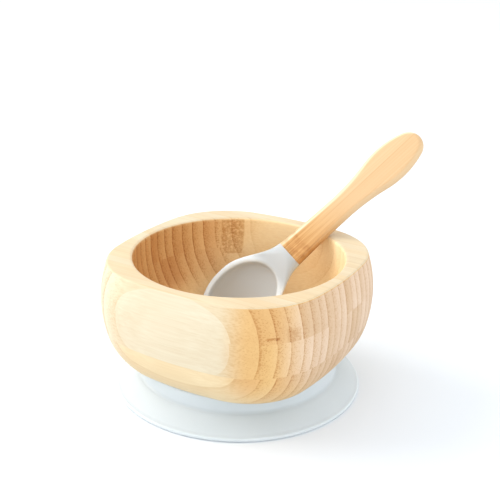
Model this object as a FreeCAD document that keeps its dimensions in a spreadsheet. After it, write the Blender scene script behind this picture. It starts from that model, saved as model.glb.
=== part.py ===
"""Suction bowl: a carved bamboo bowl on a pull-off silicone suction ring, with its spoon.

Millimetres, +Z up. The origin is the centre of the suction ring's underside, on the bowl's axis.
The bamboo grain runs along X, and the pale long-grain face of the bowl is its -Y face.
"""
import FreeCAD, Part
import math
import os

import Sketcher

Vector = FreeCAD.Vector
Z_AXIS = Vector(0, 0, 1)

# ---------------------------------------------------------------- driving dimensions

DIMENSIONS = (
    # bowl block: outer shape
    ("body_height", 65.0),          # rim plane above the table
    ("block_bottom", 15.6),         # flat underside, just clear of the ring's collar
    ("widest_half", 57.5),          # half the distance between opposite flats
    ("widest_height", 46.0),        # height of the widest section
    ("upper_radius", 62.0),         # side profile above the shoulder
    ("lower_radius", 31.0),         # side profile where the wall turns under
    ("lower_height", 38.0),         # height of the lower arc's centre
    ("crown_ratio", 3.08),          # radius of a flat's crown over the section's half width
    ("corner_ratio", 0.65),         # radius of a corner over the section's half width
    ("rim_round_outer", 1.1),
    ("rim_round_inner", 1.6),
    # glued boards, from the bottom up
    ("foot_board_top", 17.4),
    ("lower_board_top", 33.0),
    ("upper_board_top", 49.5),
    # cavity
    ("cavity_radius", 48.8),
    ("cavity_floor", 19.0),
    ("cavity_arc", 40.0),
    # foot and its groove
    ("foot_radius", 35.0),
    ("foot_bottom", 1.2),
    ("foot_root", 16.8),            # height up to which the foot reaches into the block
    ("foot_round", 0.8),
    ("groove_radius", 33.0),
    ("groove_low", 4.6),
    ("groove_high", 7.0),
    # silicone ring
    ("fit_gap", 0.3),               # play between silicone and bamboo
    ("flange_radius", 58.0),
    ("edge_thickness", 2.0),
    ("flange_rise", 7.6),           # top of the flange's cone, where the collar fillet starts
    ("fillet_start", 48.0),
    ("fillet_radius", 1.8),
    ("collar_radius", 46.6),
    ("collar_foot", 9.2),           # height at which the collar's wall leaves the fillet
    ("collar_round", 1.6),
    ("collar_top", 15.3),
    ("inner_seal", 38.5),           # flat that seals on the table, inside the suction chamber
    ("chamber_inner", 39.5),
    ("chamber_outer", 47.0),
    ("chamber_height", 4.2),
    ("outer_seal", 54.5),           # flat that seals on the table, outside the chamber
    # spoon: place of the joint between bamboo and silicone, and the spoon's attitude
    ("neck_x", 9.0),
    ("neck_y", 31.8),
    ("neck_z", 56.05),
    ("spoon_azimuth", 48.0),
    ("spoon_elevation", 40.3),
    ("spoon_roll", 31.4),
    # spoon handle
    ("handle_length", 84.4),
    ("handle_thickness", 4.8),
    ("handle_edge", 1.7),
    ("neck_half", 7.6),
    ("waist_at", 33.0),
    ("waist_half", 6.6),
    ("paddle_at", 64.6),
    ("paddle_half", 10.2),
    ("paddle_radius", 40.0),
    ("tang_length", 9.5),
    ("tang_width", 8.0),
    ("tang_thickness", 2.6),
    # spoon head
    ("head_centre", 31.4),
    ("head_half_length", 22.2),
    ("head_half_width", 19.0),
    ("head_depth", 9.4),
    ("hollow_half_length", 19.4),
    ("hollow_half_width", 16.2),
    ("hollow_depth", 7.2),
    ("lip_height", 1.5),            # rim of the head above the handle's middle plane
    ("socket_half_width", 7.9),
    ("socket_half_height", 3.7),
    ("shoulder_at", 9.0),
    ("shoulder_half_width", 10.2),
    ("shoulder_half_height", 4.3),
    ("throat_at", 19.0),
    ("throat_half_width", 16.0),
    ("throat_half_height", 4.2),
)

document = FreeCAD.newDocument("suction_bowl")
sheet = document.addObject("Spreadsheet::Sheet", "dims")
for row, (alias, number) in enumerate(DIMENSIONS, start=1):
    sheet.set(f"A{row}", alias)
    sheet.set(f"B{row}", str(number))
    sheet.setAlias(f"B{row}", alias)
document.recompute()
size = dict(DIMENSIONS)


# ---------------------------------------------------------------- helpers

def new_body(name):
    return document.addObject("PartDesign::Body", name)


def origin_plane(body, role):
    return next(plane for plane in body.Origin.OriginFeatures if plane.Role == role)


def new_sketch(body, name, role, offset=None):
    """A sketch on one of the body's origin planes, raised by an expression where one is given."""
    sketch = body.newObject("Sketcher::SketchObject", name)
    sketch.AttachmentSupport = [(origin_plane(body, role), "")]
    sketch.MapMode = "FlatFace"
    if offset:
        sketch.setExpression("AttachmentOffset.Base.z", offset)
    return sketch


def drive(sketch, constraint, expression):
    """Adds a dimension to a sketch and binds it to the sheet."""
    index = sketch.addConstraint(constraint)
    sketch.setExpression(f"Constraints[{index}]", expression)


def pin_point(sketch, curve, end, x, y):
    """Fixes a curve's end at (x, y), each an expression with its present number, or 0."""
    for kind, axis, (expression, number) in (("DistanceX", -2, x), ("DistanceY", -1, y)):
        if expression:
            drive(sketch, Sketcher.Constraint(kind, -1, 1, curve, end, number), expression)
        else:
            sketch.addConstraint(Sketcher.Constraint("PointOnObject", curve, end, axis))


def arc_between(start, end, radius, turn):
    """The short arc of a radius from start to end; turn is +1 anticlockwise, -1 clockwise."""
    chord = end - start
    middle = (start + end) * 0.5
    reach = math.sqrt(max(radius ** 2 - (chord.Length / 2) ** 2, 0.0))
    side = Vector(-chord.y, chord.x, 0).normalize() * reach * turn
    centre = middle + side
    first, last = (start, end) if turn > 0 else (end, start)
    angles = [math.atan2(p.y - centre.y, p.x - centre.x) for p in (first, last)]
    if angles[1] < angles[0]:
        angles[1] += 2 * math.pi
    return Part.ArcOfCircle(Part.Circle(centre, Z_AXIS, radius), *angles)


def sheet_number(expression):
    """The number that an expression on the sheet has now; None stands for 0."""
    return 0.0 if expression is None else float(sheet.evalExpression(expression))


def closed_profile(sketch, corners):
    """Draws a closed outline. A corner is (x, y) or (x, y, radius, turn), which arcs to the next.

    x, y and radius are expressions on the sheet, or None for a coordinate on an axis.
    """
    points = [Vector(sheet_number(c[0]), sheet_number(c[1]), 0) for c in corners]
    ends = []
    for index, corner in enumerate(corners):
        start, end = points[index], points[(index + 1) % len(points)]
        if len(corner) == 2:
            curve = sketch.addGeometry(Part.LineSegment(start, end), False)
            ends.append((curve, 1, 2))
        else:
            radius, turn = sheet_number(corner[2]), corner[3]
            curve = sketch.addGeometry(arc_between(start, end, radius, turn), False)
            ends.append((curve, 1, 2) if turn > 0 else (curve, 2, 1))
    for index, corner in enumerate(corners):
        curve, first, _ = ends[index]
        before, _, last = ends[index - 1]
        sketch.addConstraint(Sketcher.Constraint("Coincident", before, last, curve, first))
        x, y = points[index].x, points[index].y
        pin_point(sketch, curve, first, (corner[0], x), (corner[1], y))
        if len(corner) > 2:
            drive(sketch, Sketcher.Constraint("Radius", curve, sheet_number(corner[2])), corner[2])


def bind(item, **expressions):
    for field, expression in expressions.items():
        item.setExpression(field.replace("__", "."), expression)


def boolean(kind, name, base, tool):
    result = document.addObject(f"Part::{kind}", name)
    result.Base = base
    result.Tool = tool
    return result


# ---------------------------------------------------------------- bowl block: outer shape

UPPER_X = "(dims.widest_half - dims.upper_radius)"
CENTRE_DROP = "(dims.widest_height - dims.lower_height)"
LOWER_X = f"({UPPER_X} + sqrt((dims.upper_radius - dims.lower_radius)^2 - {CENTRE_DROP}^2))"

# Sections of the side profile: degrees from straight down on the lower arc, degrees above
# level on the upper arc, and degrees round the rim's outer rounding.
BOTTOM_ANGLE = "acos((dims.lower_height - dims.block_bottom) / dims.lower_radius)"
LOWER_SECTIONS = (BOTTOM_ANGLE, 48, 53, 58, 64)
UPPER_SECTIONS = (-15, -5, 5, 12)
ROUNDING_SECTIONS = (0, 25, 50, 72, 90)
RIM_RISE = "(dims.body_height - dims.rim_round_outer - dims.widest_height)"
RIM_ANGLE = f"asin({RIM_RISE} / dims.upper_radius)"
RIM_HALF = f"({UPPER_X} + dims.upper_radius * cos({RIM_ANGLE}))"


def wall_sections():
    """Height and half width of each section below the rim's rounding, as expressions."""
    for angle in LOWER_SECTIONS:
        yield (f"dims.lower_height - dims.lower_radius * cos({angle})",
               f"({LOWER_X} + dims.lower_radius * sin({angle}))")
    for angle in UPPER_SECTIONS + (RIM_ANGLE,):
        yield (f"dims.widest_height + dims.upper_radius * sin({angle})",
               f"({UPPER_X} + dims.upper_radius * cos({angle}))")


def rounding_sections():
    """Height and half width of each section of the rim's outer rounding, as expressions."""
    for angle in ROUNDING_SECTIONS:
        yield (f"dims.body_height - dims.rim_round_outer * (1 - sin({angle}))",
               f"({RIM_HALF} - dims.rim_round_outer * (1 - cos({angle})))")


def rounded_square(sketch, half):
    """Four crowned sides and four round corners, all tangent, from the half width across flats."""
    half_now = sheet_number(half)
    crown_now = half_now * size["crown_ratio"]
    corner_now = half_now * size["corner_ratio"]
    inset = crown_now - half_now
    gap = crown_now - corner_now
    corner_at = (-inset + math.sqrt(2 * gap ** 2 - inset ** 2)) / 2
    swing = math.atan2(corner_at, corner_at + inset)
    for quarter in range(4):
        turn = quarter * math.pi / 2
        side = Vector(-inset * math.cos(turn), -inset * math.sin(turn), 0)
        sketch.addGeometry(
            Part.ArcOfCircle(Part.Circle(side, Z_AXIS, crown_now), turn - swing, turn + swing), False)
        spot = math.atan2(1, 1) + turn
        corner = Vector(math.cos(spot), math.sin(spot), 0) * corner_at * math.sqrt(2)
        sketch.addGeometry(
            Part.ArcOfCircle(Part.Circle(corner, Z_AXIS, corner_now),
                             turn + swing, turn + math.pi / 2 - swing), False)
    for arc in range(8):
        sketch.addConstraint(Sketcher.Constraint("Tangent", arc, 2, (arc + 1) % 8, 1))
    for quarter in range(4):
        side = 2 * quarter
        sketch.addConstraint(Sketcher.Constraint("PointOnObject", side, 3, -1 - quarter % 2))
        if quarter:
            sketch.addConstraint(Sketcher.Constraint("Equal", 0, side))
            sketch.addConstraint(Sketcher.Constraint("Equal", 1, side + 1))
        kind = ("DistanceX", "DistanceY")[quarter % 2]
        ends = (side, 3, -1, 1) if quarter < 2 else (-1, 1, side, 3)
        drive(sketch, Sketcher.Constraint(kind, *ends, inset),
              f"{half} * (dims.crown_ratio - 1)")
    drive(sketch, Sketcher.Constraint("Radius", 0, crown_now), f"{half} * dims.crown_ratio")
    drive(sketch, Sketcher.Constraint("Radius", 1, corner_now), f"{half} * dims.corner_ratio")


def stack_sections(body, name, sections):
    """A loft through rounded squares, each at its own height."""
    sketches = []
    for index, (height, half) in enumerate(sections):
        sketch = new_sketch(body, f"{name}_{index}", "XY_Plane", height)
        rounded_square(sketch, half)
        sketches.append(sketch)
    document.recompute()
    loft = body.newObject("PartDesign::AdditiveLoft", f"{name}_loft")
    loft.Profile = sketches[0]
    loft.Sections = sketches[1:]
    return loft


def make_block():
    """The carved outside of the bowl, before the boards are told apart."""
    body = new_body("block")
    stack_sections(body, "wall", wall_sections())
    stack_sections(body, "rounding", rounding_sections())
    return body


def revolve(body, sketch, name):
    turned = body.newObject("PartDesign::Revolution", name)
    turned.Profile = sketch
    turned.ReferenceAxis = (sketch, ["V_Axis"])
    turned.Angle = 360
    return turned


def make_cavity():
    """The space that is turned out of the block, flared at the rim by the inner rounding."""
    body = new_body("cavity")
    sketch = new_sketch(body, "cavity_profile", "XZ_Plane")
    mouth = "(dims.cavity_radius + dims.rim_round_inner)"
    closed_profile(sketch, (
        (None, "dims.cavity_floor"),
        ("(dims.cavity_radius - dims.cavity_arc)", "dims.cavity_floor", "dims.cavity_arc", 1),
        ("dims.cavity_radius", "(dims.cavity_floor + dims.cavity_arc)"),
        ("dims.cavity_radius", "(dims.body_height - dims.rim_round_inner)", "dims.rim_round_inner", -1),
        (mouth, "dims.body_height"),
        (mouth, "(dims.body_height + dims.rim_round_inner)"),
        (None, "(dims.body_height + dims.rim_round_inner)"),
    ))
    revolve(body, sketch, "cavity_turning")
    return body


def make_foot():
    """The turned foot: a drum with a groove for the ring's bead and a lip below it."""
    body = new_body("foot")
    sketch = new_sketch(body, "foot_profile", "XZ_Plane")
    closed_profile(sketch, (
        (None, "dims.foot_bottom"),
        ("(dims.foot_radius - dims.foot_round)", "dims.foot_bottom", "dims.foot_round", 1),
        ("dims.foot_radius", "(dims.foot_bottom + dims.foot_round)"),
        ("dims.foot_radius", "dims.groove_low"),
        ("dims.groove_radius", "dims.groove_low"),
        ("dims.groove_radius", "dims.groove_high"),
        ("dims.foot_radius", "dims.groove_high"),
        ("dims.foot_radius", "dims.foot_root"),
        (None, "dims.foot_root"),
    ))
    revolve(body, sketch, "foot_turning")
    return body


def slab(name, bottom, top):
    """A box as wide as the block between two heights."""
    box = document.addObject("Part::Box", name)
    width = "(2 * dims.flange_radius + 10)"
    bind(box, Length=width, Width=width, Height=f"{top} - {bottom}",
         Placement__Base__x=f"-{width} / 2", Placement__Base__y=f"-{width} / 2",
         Placement__Base__z=bottom)
    return box


def make_boards(block, cavity, foot):
    """The four glued boards of the block, each cut to its own layer."""
    layers = (
        ("foot_board", "0", "dims.foot_board_top"),
        ("lower_wall_board", "dims.foot_board_top", "dims.lower_board_top"),
        ("upper_wall_board", "dims.lower_board_top", "dims.upper_board_top"),
        ("rim_board", "dims.upper_board_top", "(dims.body_height + 1)"),
    )
    boards = []
    for name, bottom, top in layers:
        layer = boolean("Common", f"{name}_layer", block, slab(f"{name}_slab", bottom, top))
        if name == "foot_board":
            board = boolean("Fuse", name, layer, foot)
        else:
            board = boolean("Cut", name, layer, cavity)
        boards.append(board)
    return boards


# ---------------------------------------------------------------- silicone suction ring

def make_suction_ring():
    """Skirt, collar, bead, and the chamber with its two seals underneath, as one turned section."""
    body = new_body("suction_ring")
    sketch = new_sketch(body, "ring_profile", "XZ_Plane")
    bore = "(dims.foot_radius + dims.fit_gap)"
    edge = "(dims.flange_radius - dims.edge_thickness / 2)"
    bead = "(dims.groove_radius + dims.fit_gap)"
    bead_low = "(dims.groove_low + dims.fit_gap)"
    bead_high = "(dims.groove_high - dims.fit_gap)"
    closed_profile(sketch, (
        (bore, None),
        ("dims.inner_seal", None),
        ("dims.chamber_inner", "dims.chamber_height"),
        ("dims.chamber_outer", "dims.chamber_height"),
        ("dims.outer_seal", None),
        (edge, None, "(dims.edge_thickness / 2)", 1),
        ("dims.flange_radius", "(dims.edge_thickness / 2)", "(dims.edge_thickness / 2)", 1),
        (edge, "dims.edge_thickness"),
        ("dims.fillet_start", "dims.flange_rise", "dims.fillet_radius", -1),
        ("dims.collar_radius", "dims.collar_foot"),
        ("dims.collar_radius", "(dims.collar_top - dims.collar_round)", "dims.collar_round", 1),
        ("(dims.collar_radius - dims.collar_round)", "dims.collar_top"),
        (bore, "dims.collar_top"),
        (bore, bead_high),
        (bead, bead_high),
        (bead, bead_low),
        (bore, bead_low),
    ))
    revolve(body, sketch, "ring_turning")
    return body


# ---------------------------------------------------------------- spoon

# The spoon is modelled along its own X axis, from the joint between bamboo and silicone at 0
# to the handle's tip, with the hollow of the head facing its own +Z.
SPOON_PLACE = ("placement(vector(dims.neck_x; dims.neck_y; dims.neck_z);"
               " rotation(dims.spoon_azimuth; -dims.spoon_elevation; dims.spoon_roll))")


def half_handle_outline(sketch):
    """Half of the paddle handle: axis, round tip, paddle, waist and the flare to the neck."""
    length, paddle_at, waist_at = size["handle_length"], size["paddle_at"], size["waist_at"]
    paddle_half, waist_half, neck_half = size["paddle_half"], size["waist_half"], size["neck_half"]
    paddle_radius = size["paddle_radius"]
    drop = paddle_radius - paddle_half
    span, rise = paddle_at - waist_at, waist_half + drop
    waist_radius = (span ** 2 + rise ** 2 - paddle_radius ** 2) / (2 * (paddle_radius - rise))
    flare = neck_half - waist_half
    neck_radius = (waist_at ** 2 + flare ** 2) / (2 * flare)
    back = length - paddle_radius
    tip_at = (paddle_at ** 2 + drop ** 2 - back ** 2) / (2 * (paddle_at - back))

    paddle_centre = Vector(paddle_at, -drop, 0)
    tip_centre = Vector(tip_at, 0, 0)
    waist_centre = Vector(waist_at, waist_half + waist_radius, 0)
    neck_centre = Vector(waist_at, waist_half + neck_radius, 0)
    tip_joint = paddle_centre + (tip_centre - paddle_centre).normalize() * paddle_radius
    waist_joint = paddle_centre + (waist_centre - paddle_centre).normalize() * paddle_radius
    tip_end, waist = Vector(length, 0, 0), Vector(waist_at, waist_half, 0)
    neck = Vector(0, neck_half, 0)

    axis = sketch.addGeometry(Part.LineSegment(Vector(), tip_end), False)
    tip = sketch.addGeometry(arc_between(tip_end, tip_joint, length - tip_at, 1), False)
    paddle = sketch.addGeometry(arc_between(tip_joint, waist_joint, paddle_radius, 1), False)
    hollow = sketch.addGeometry(arc_between(waist, waist_joint, waist_radius, 1), False)
    flare_arc = sketch.addGeometry(arc_between(neck, waist, neck_radius, 1), False)
    butt = sketch.addGeometry(Part.LineSegment(neck, Vector()), False)

    for kind, *ends in (
            ("Coincident", axis, 1, -1, 1), ("PointOnObject", axis, 2, -1),
            ("Coincident", axis, 2, tip, 1), ("PointOnObject", tip, 3, -1),
            ("Tangent", tip, 2, paddle, 1), ("Tangent", paddle, 2, hollow, 2),
            ("Vertical", hollow, 3, hollow, 1), ("Coincident", hollow, 1, flare_arc, 2),
            ("Vertical", flare_arc, 3, flare_arc, 2), ("PointOnObject", flare_arc, 1, -2),
            ("Coincident", flare_arc, 1, butt, 1), ("Coincident", butt, 2, -1, 1)):
        sketch.addConstraint(Sketcher.Constraint(kind, *ends))
    for kind, ends, expression in (
            ("DistanceX", (-1, 1, axis, 2), "dims.handle_length"),
            ("Radius", (paddle,), "dims.paddle_radius"),
            ("DistanceX", (-1, 1, paddle, 3), "dims.paddle_at"),
            ("DistanceY", (paddle, 3, -1, 1), "(dims.paddle_radius - dims.paddle_half)"),
            ("DistanceX", (-1, 1, hollow, 1), "dims.waist_at"),
            ("DistanceY", (-1, 1, hollow, 1), "dims.waist_half"),
            ("DistanceY", (-1, 1, flare_arc, 1), "dims.neck_half")):
        drive(sketch, Sketcher.Constraint(kind, *ends, sheet_number(expression)), expression)


def outline_edges(shape, heights, tolerance=1e-3):
    """Names of the level edges at given heights that don't lie across the axis."""
    def level(edge, height):
        box = edge.BoundBox
        return abs(box.ZMin - height) < tolerance and abs(box.ZMax - height) < tolerance
    return [f"Edge{index}" for index, edge in enumerate(shape.Edges, start=1)
            if edge.BoundBox.XLength > tolerance and any(level(edge, height) for height in heights)]


def make_spoon_handle():
    """A bamboo paddle with eased edges and the tang that the silicone is moulded round."""
    body = new_body("spoon_handle")
    outline = new_sketch(body, "handle_outline", "XY_Plane", "-dims.handle_thickness / 2")
    half_handle_outline(outline)
    half = body.newObject("PartDesign::Pad", "half_handle")
    half.Profile = outline
    half.setExpression("Length", "dims.handle_thickness")
    document.recompute()
    whole = body.newObject("PartDesign::Mirrored", "whole_handle")
    whole.Originals = [half]
    whole.MirrorPlane = (origin_plane(body, "XZ_Plane"), [""])
    body.Tip = whole
    document.recompute()
    face = size["handle_thickness"] / 2
    easing = body.newObject("PartDesign::Fillet", "eased_edges")
    easing.Base = (whole, outline_edges(whole.Shape, (-face, face)))
    easing.setExpression("Radius", "dims.handle_edge")
    tang_outline = new_sketch(body, "tang_outline", "XY_Plane", "-dims.tang_thickness / 2")
    tang_rectangle(tang_outline)
    tang = body.newObject("PartDesign::Pad", "tang")
    tang.Profile = tang_outline
    tang.setExpression("Length", "dims.tang_thickness")
    bind(body, Placement=SPOON_PLACE)
    return body


def tang_rectangle(sketch):
    """The tang's outline, from the handle's butt back into the head."""
    length, half = size["tang_length"], size["tang_width"] / 2
    corners = (Vector(0, -half, 0), Vector(0, half, 0), Vector(-length, half, 0),
               Vector(-length, -half, 0))
    for index, start in enumerate(corners):
        sketch.addGeometry(Part.LineSegment(start, corners[(index + 1) % 4]), False)
    for index in range(4):
        sketch.addConstraint(Sketcher.Constraint("Coincident", index, 2, (index + 1) % 4, 1))
    for kind, *ends in (("PointOnObject", 0, 1, -2), ("Symmetric", 0, 1, 0, 2, -1),
                        ("Horizontal", 1), ("Vertical", 2), ("Horizontal", 3)):
        sketch.addConstraint(Sketcher.Constraint(kind, *ends))
    drive(sketch, Sketcher.Constraint("DistanceY", 0, 1, 0, 2, 2 * half), "dims.tang_width")
    drive(sketch, Sketcher.Constraint("DistanceX", 1, 2, 1, 1, length), "dims.tang_length")


def half_ellipsoid(name, long_half, wide_half, depth):
    """The lower half of an ellipsoid whose flat side is the plane of the head's rim."""
    item = document.addObject("Part::Ellipsoid", name)
    item.Angle1, item.Angle2 = -90, 0
    bind(item, Radius1=depth, Radius2=long_half, Radius3=wide_half,
         Placement__Base__x="-dims.head_centre", Placement__Base__z="dims.lip_height")
    return item


def neck_section(name, at, wide_half, high_half, middle):
    """An upright ellipse across the spoon's axis."""
    ellipse = document.addObject("Part::Ellipse", name)
    bind(ellipse, MajorRadius=wide_half, MinorRadius=high_half,
         Placement=f"placement(vector(-({at}); 0; {middle}); rotation(90; 0; 90))")
    return ellipse


def make_spoon_head():
    """A silicone shell: half an ellipsoid, hollowed, that narrows to the socket for the handle."""
    shell = half_ellipsoid("head_shell", "dims.head_half_length", "dims.head_half_width",
                           "dims.head_depth")
    hollow = half_ellipsoid("head_hollow", "dims.hollow_half_length", "dims.hollow_half_width",
                            "dims.hollow_depth")
    neck = document.addObject("Part::Loft", "head_neck")
    neck.Sections = [
        neck_section("neck_socket", "0", "dims.socket_half_width", "dims.socket_half_height", "0"),
        neck_section("neck_shoulder", "dims.shoulder_at", "dims.shoulder_half_width",
                     "dims.shoulder_half_height", "-0.2 * dims.shoulder_half_height"),
        neck_section("neck_throat", "dims.throat_at", "dims.throat_half_width",
                     "dims.throat_half_height", "(dims.lip_height - dims.throat_half_height)"),
    ]
    neck.Solid = True
    tang_hole = document.addObject("Part::Box", "tang_hole")
    bind(tang_hole, Length="dims.tang_length", Width="dims.tang_width",
         Height="dims.tang_thickness", Placement__Base__x="-dims.tang_length",
         Placement__Base__y="-dims.tang_width / 2", Placement__Base__z="-dims.tang_thickness / 2")
    solid = boolean("Fuse", "head_solid", shell, neck)
    hollowed = boolean("Cut", "head_hollowed", solid, hollow)
    head = boolean("Cut", "spoon_head", hollowed, tang_hole)
    bind(head, Placement=SPOON_PLACE)
    return head


# ---------------------------------------------------------------- assembly

def check_document():
    """Stops if anything in the document failed to build."""
    for item in document.Objects:
        if "Invalid" in item.State or "Error" in item.State:
            raise RuntimeError(f"{item.Name} failed: {item.getStatusString()}")


def export(pieces):
    os.makedirs("parts", exist_ok=True)
    for piece in pieces:
        shape = piece.Shape
        if shape.isNull() or not shape.isValid() or not shape.Solids:
            raise RuntimeError(f"{piece.Name} has no valid solid")
        piece.Label = piece.Name
        shape.exportStep(f"parts/{piece.Label}.step")
        print(f"{piece.Label}: {shape.Volume / 1000:.2f} cm3")


pieces = make_boards(make_block(), make_cavity(), make_foot())
pieces += [make_suction_ring(), make_spoon_handle(), make_spoon_head()]
document.recompute()
check_document()
export(pieces)
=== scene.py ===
"""The looks of a bamboo suction bowl with its silicone ring and its spoon.

Metres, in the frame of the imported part: +Z up, the origin under the middle of the ring, the
bamboo's grain along X. The boards, the ring and the spoon are built again here as fine skins of
the same size and place, with procedural bamboo and silicone.
"""

import math
from collections import namedtuple

import bmesh
import bpy
import numpy as np
from mathutils import Matrix, Vector


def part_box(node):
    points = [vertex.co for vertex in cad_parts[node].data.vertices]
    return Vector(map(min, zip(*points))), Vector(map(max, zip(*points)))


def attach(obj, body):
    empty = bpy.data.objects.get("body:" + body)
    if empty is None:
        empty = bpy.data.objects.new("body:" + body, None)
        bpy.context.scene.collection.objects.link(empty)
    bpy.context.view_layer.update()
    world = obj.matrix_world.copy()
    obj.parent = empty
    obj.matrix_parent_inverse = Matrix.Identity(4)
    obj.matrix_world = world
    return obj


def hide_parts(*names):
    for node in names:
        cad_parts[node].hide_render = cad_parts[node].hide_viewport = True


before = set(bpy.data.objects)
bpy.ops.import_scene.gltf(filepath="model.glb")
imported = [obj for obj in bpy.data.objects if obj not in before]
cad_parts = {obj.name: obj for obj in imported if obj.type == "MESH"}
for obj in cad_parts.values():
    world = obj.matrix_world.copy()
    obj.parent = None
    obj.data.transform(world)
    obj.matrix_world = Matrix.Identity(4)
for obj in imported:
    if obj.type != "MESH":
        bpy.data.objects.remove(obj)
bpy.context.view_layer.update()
MM = 0.001

# ---------------------------------------------------------------- sizes

bottom_z = {node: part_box(node)[0].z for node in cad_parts}
top_z = {node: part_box(node)[1].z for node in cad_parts}

RIM_Z = top_z["rim_board"]
WIDEST_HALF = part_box("upper_wall_board")[1].x
WIDEST_Z = 46 * MM                 # height of the widest section
UPPER_RADIUS = 62 * MM             # side profile through the widest section
LOWER_RADIUS = 31 * MM             # side profile where the wall turns under
LOWER_Z = 38 * MM                  # height of the lower arc's centre
CROWN = 3.08                       # radius of a flat's crown over the section's half width
CORNER = 0.65                      # radius of a corner over the section's half width
RIM_OUTER = 1.1 * MM               # rounding of the rim's outer edge
RIM_INNER = 1.6 * MM               # rounding of its inner edge
CAVITY_RADIUS = 48.8 * MM
CAVITY_ARC = 40 * MM               # side profile where the cavity turns into its floor
CAVITY_FLOOR = 19 * MM
BLOCK_BOTTOM = 15.6 * MM           # flat underside round the foot
FOOT_RADIUS = 35 * MM
FOOT_ROUND = 0.8 * MM              # rounding of the foot's lower edge
GROOVE_RADIUS = 33 * MM            # the groove in the foot that holds the ring's bead
GROOVE_LOW = 4.6 * MM
GROOVE_HIGH = 7.0 * MM
FIT_GAP = 0.3 * MM                 # between wood and silicone

AROUND = 288                       # points in one turn of the bowl


# ---------------------------------------------------------------- mesh helpers

def arc(centre, radius, start, end, steps=6):
    """Points on an arc in a plane, from one angle to another, in degrees."""
    angles = np.radians(np.linspace(start, end, steps + 1))
    return [(centre[0] + radius * math.cos(a), centre[1] + radius * math.sin(a)) for a in angles]


def skin(rings, closed=False, caps=(False, False)):
    """Vertices and faces through rings of equally many points; closed joins last to first."""
    count, around = len(rings), len(rings[0])
    vertices = [tuple(point) for ring in rings for point in ring]
    faces = []
    for row in range(count if closed else count - 1):
        here, there = row * around, (row + 1) % count * around
        for step in range(around):
            after = (step + 1) % around
            faces.append((here + step, here + after, there + after, there + step))
    if caps[0]:
        faces.append(tuple(reversed(range(around))))
    if caps[1]:
        faces.append(tuple(range((count - 1) * around, count * around)))
    return vertices, faces


def make_piece(name, vertices, faces, body, node, slot, crease=30, place=Matrix.Identity(4)):
    """A smooth-shaded piece that stands for a CAD node, with hard edges above the crease angle."""
    mesh = bpy.data.meshes.new(name)
    mesh.from_pydata(vertices, [], faces)
    piece = bpy.data.objects.new(name, mesh)
    bpy.context.scene.collection.objects.link(piece)
    weld(mesh)
    mesh.shade_smooth()
    mesh.set_sharp_from_angle(angle=math.radians(crease))
    piece.matrix_world = place
    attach(piece, body)
    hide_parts(node)
    return piece


def weld(mesh, distance=1e-6):
    """Joins points that fall together, drops empty faces and turns every face outwards."""
    work = bmesh.new()
    work.from_mesh(mesh)
    bmesh.ops.remove_doubles(work, verts=work.verts, dist=distance)
    bmesh.ops.dissolve_degenerate(work, edges=work.edges, dist=distance)
    bmesh.ops.recalc_face_normals(work, faces=work.faces)
    work.to_mesh(mesh)
    work.free()


def ease(value):
    """0 below 0, 1 above 1 and a smooth step between."""
    value = np.clip(value, 0, 1)
    return value * value * (3 - 2 * value)


def mix(low, high, share):
    """low where the share is 0, high where it is 1."""
    return low + (high - low) * share


# ---------------------------------------------------------------- bowl boards

def directions():
    """The angles of one turn round the bowl."""
    return np.arange(AROUND) * 2 * math.pi / AROUND


def outline_reach():
    """The rounded square's reach over its half width across flats, for each direction."""
    inset = CROWN - 1
    centre = (-inset + math.sqrt(2 * (CROWN - CORNER) ** 2 - inset ** 2)) / 2
    swing = math.atan2(centre, centre + inset)
    joint = math.atan2(CROWN * math.sin(swing), CROWN * math.cos(swing) - inset)
    reach = []
    for angle in directions():
        folded = abs((angle + math.pi / 4) % (math.pi / 2) - math.pi / 4)
        side, other = math.cos(folded), math.sin(folded)
        if folded < joint:
            reach.append(-inset * side + math.sqrt(CROWN ** 2 - (inset * other) ** 2))
        else:
            along = centre * (side + other)
            reach.append(along + math.sqrt(along ** 2 - 2 * centre ** 2 + CORNER ** 2))
    return np.array(reach)


REACH = outline_reach()
COSINES, SINES = np.cos(directions()), np.sin(directions())

# The side profile is an upper arc and a tighter lower one, which meet at TURN_Z.
UPPER_X = WIDEST_HALF - UPPER_RADIUS
LOWER_X = UPPER_X + math.sqrt((UPPER_RADIUS - LOWER_RADIUS) ** 2 - (WIDEST_Z - LOWER_Z) ** 2)
TURN_Z = WIDEST_Z - UPPER_RADIUS * (WIDEST_Z - LOWER_Z) / (UPPER_RADIUS - LOWER_RADIUS)
RIM_HALF = UPPER_X + math.sqrt(UPPER_RADIUS ** 2 - (RIM_Z - RIM_OUTER - WIDEST_Z) ** 2)


def wall_half(height):
    """Half the bowl's outside width across its flats."""
    if height >= TURN_Z:
        return UPPER_X + math.sqrt(UPPER_RADIUS ** 2 - (height - WIDEST_Z) ** 2)
    return LOWER_X + math.sqrt(LOWER_RADIUS ** 2 - (LOWER_Z - height) ** 2)


def cavity_half(height):
    """The cavity's radius."""
    drop = max(CAVITY_FLOOR + CAVITY_ARC - height, 0)
    return CAVITY_RADIUS - CAVITY_ARC + math.sqrt(max(CAVITY_ARC ** 2 - drop ** 2, 0))


def square_ring(half, height):
    """A level ring of the bowl's rounded square."""
    return np.column_stack((REACH * half * COSINES, REACH * half * SINES,
                            np.broadcast_to(height, AROUND)))


def round_ring(radius, height):
    """A level circle."""
    return np.column_stack((radius * COSINES, radius * SINES, np.broadcast_to(height, AROUND)))


def turned(profile):
    """Circles for a profile of radii and heights, as a lathe would cut it."""
    return [round_ring(radius, height) for radius, height in profile]


def wall_rings(low, high, steps):
    """Rings up the bowl's outside."""
    return [square_ring(wall_half(z), z) for z in np.linspace(low, high, steps + 1)]


def cavity_rings(high, low, steps):
    """Rings down the cavity's side."""
    return [round_ring(cavity_half(z), z) for z in np.linspace(high, low, steps + 1)]


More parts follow.
